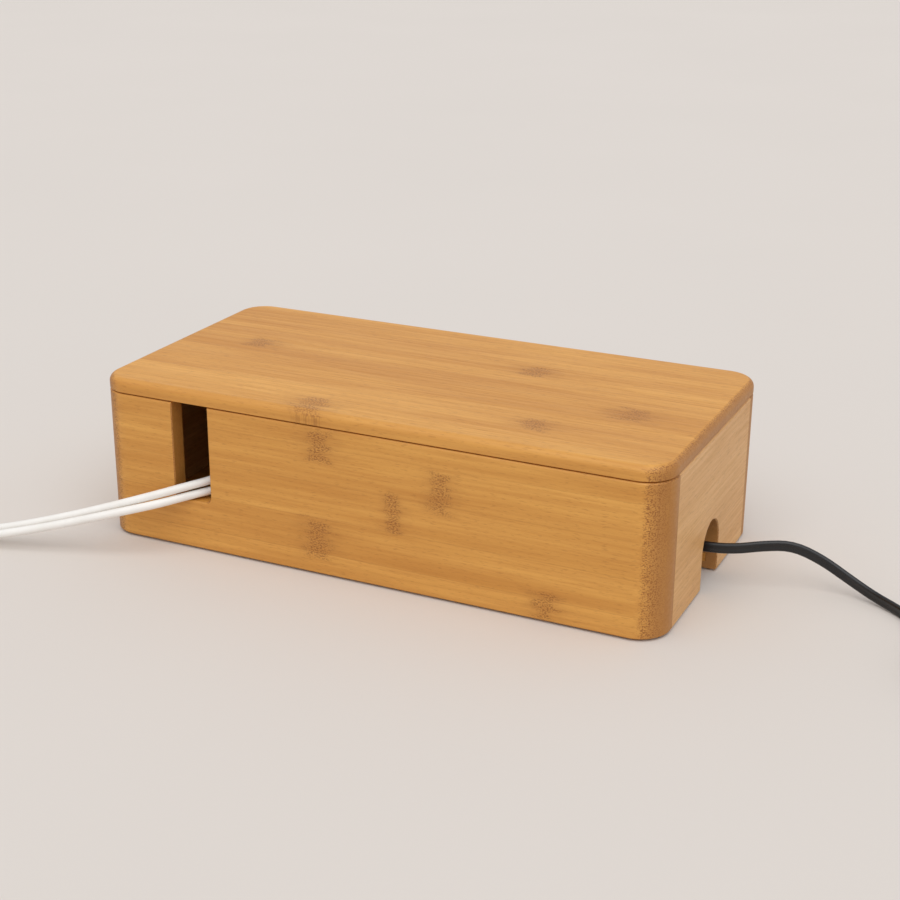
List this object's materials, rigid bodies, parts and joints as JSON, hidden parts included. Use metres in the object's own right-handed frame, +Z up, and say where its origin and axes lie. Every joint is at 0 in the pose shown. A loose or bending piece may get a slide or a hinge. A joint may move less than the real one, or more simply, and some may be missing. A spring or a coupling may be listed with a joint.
{
  "type": "cable management box",
  "caption": "Bamboo box with rounded corners, a lift-off lid, a cable slot and a cable arch, holding a power strip with a charger and its cords.",
  "frame": {"origin": "centre of the box's footprint, on the surface it stands on", "axes": "+X along the box's length towards the end with the cable arch, +Y from the front with the cable slot towards the back, +Z up"},
  "size_m": [0.743, 0.2949, 0.099],
  "materials": {
    "bamboo": "satin, light lacquer, lengthwise strips",
    "bamboo_base": "thin bamboo board, matt",
    "beech_dowel": "turned beech, unfinished",
    "foot_rubber": "matt black rubber",
    "foam_pad": "black foam tape",
    "screw_steel": "zinc-plated",
    "strip_plastic": "fine moulded grain, white",
    "contact_brass": "stamped sheet",
    "switch_plastic": "black, smooth",
    "charger_plastic": "white, smooth",
    "blade_metal": "nickel-plated blades",
    "cable_plastic": "white, slightly glossy jacket",
    "cord_plastic": "black satin jacket",
    "pin_steel": "bright drawn steel"
  },
  "bodies": {
    "box": {"front_panel": "bamboo", "back_panel": "bamboo", "left_side_panel": "bamboo", "right_side_panel": "bamboo", "corner_block_front_left": "bamboo", "corner_block_front_right": "bamboo", "corner_block_back_left": "bamboo", "corner_block_back_right": "bamboo", "corner_dowels": "beech_dowel", "base_panel": "bamboo_base", "foot_pad_front_left": "foot_rubber", "foot_pad_front_right": "foot_rubber", "foot_pad_back_left": "foot_rubber", "foot_pad_back_right": "foot_rubber", "strip_lower_shell": "strip_plastic", "strip_upper_shell": "strip_plastic", "strip_strain_relief": "cord_plastic", "strip_pad_left": "foam_pad", "strip_pad_right": "foam_pad", "live_bus_bar": "contact_brass", "neutral_bus_bar": "contact_brass", "strip_screws": "screw_steel", "switch_frame": "switch_plastic", "switch_pivot_pin": "pin_steel", "charger_body": "charger_plastic", "charger_blades": "blade_metal", "front_cable_plug": "cable_plastic", "front_cable_lead": "cable_plastic", "front_cable_coil": "cable_plastic", "front_cable_tail": "cable_plastic", "front_cable_connector": "cable_plastic", "back_cable_plug": "cable_plastic", "back_cable_lead": "cable_plastic", "back_cable_coil": "cable_plastic", "back_cable_tail": "cable_plastic", "back_cable_connector": "cable_plastic", "mains_cord_lead": "cord_plastic", "mains_cord_coil": "cord_plastic", "mains_cord_tail": "cord_plastic", "mains_plug_body": "cord_plastic", "mains_plug_blades": "blade_metal"},
    "lid": {"lid_board": "bamboo", "lid_batten_left": "bamboo", "lid_batten_right": "bamboo", "lid_batten_screws": "screw_steel"},
    "rocker": {"switch_rocker": "switch_plastic"}
  },
  "joints": [
    {"name": "lid_lift", "type": "slide", "parent": "box", "child": "lid", "axis": [0, 0, 1], "range_m": [0, 0.12]},
    {"name": "switch_rock", "type": "hinge", "parent": "box", "child": "rocker", "pos_m": [0.092, 0, 0.0373], "axis": [0, 1, 0], "range_deg": [-18, 0]}
  ]
}
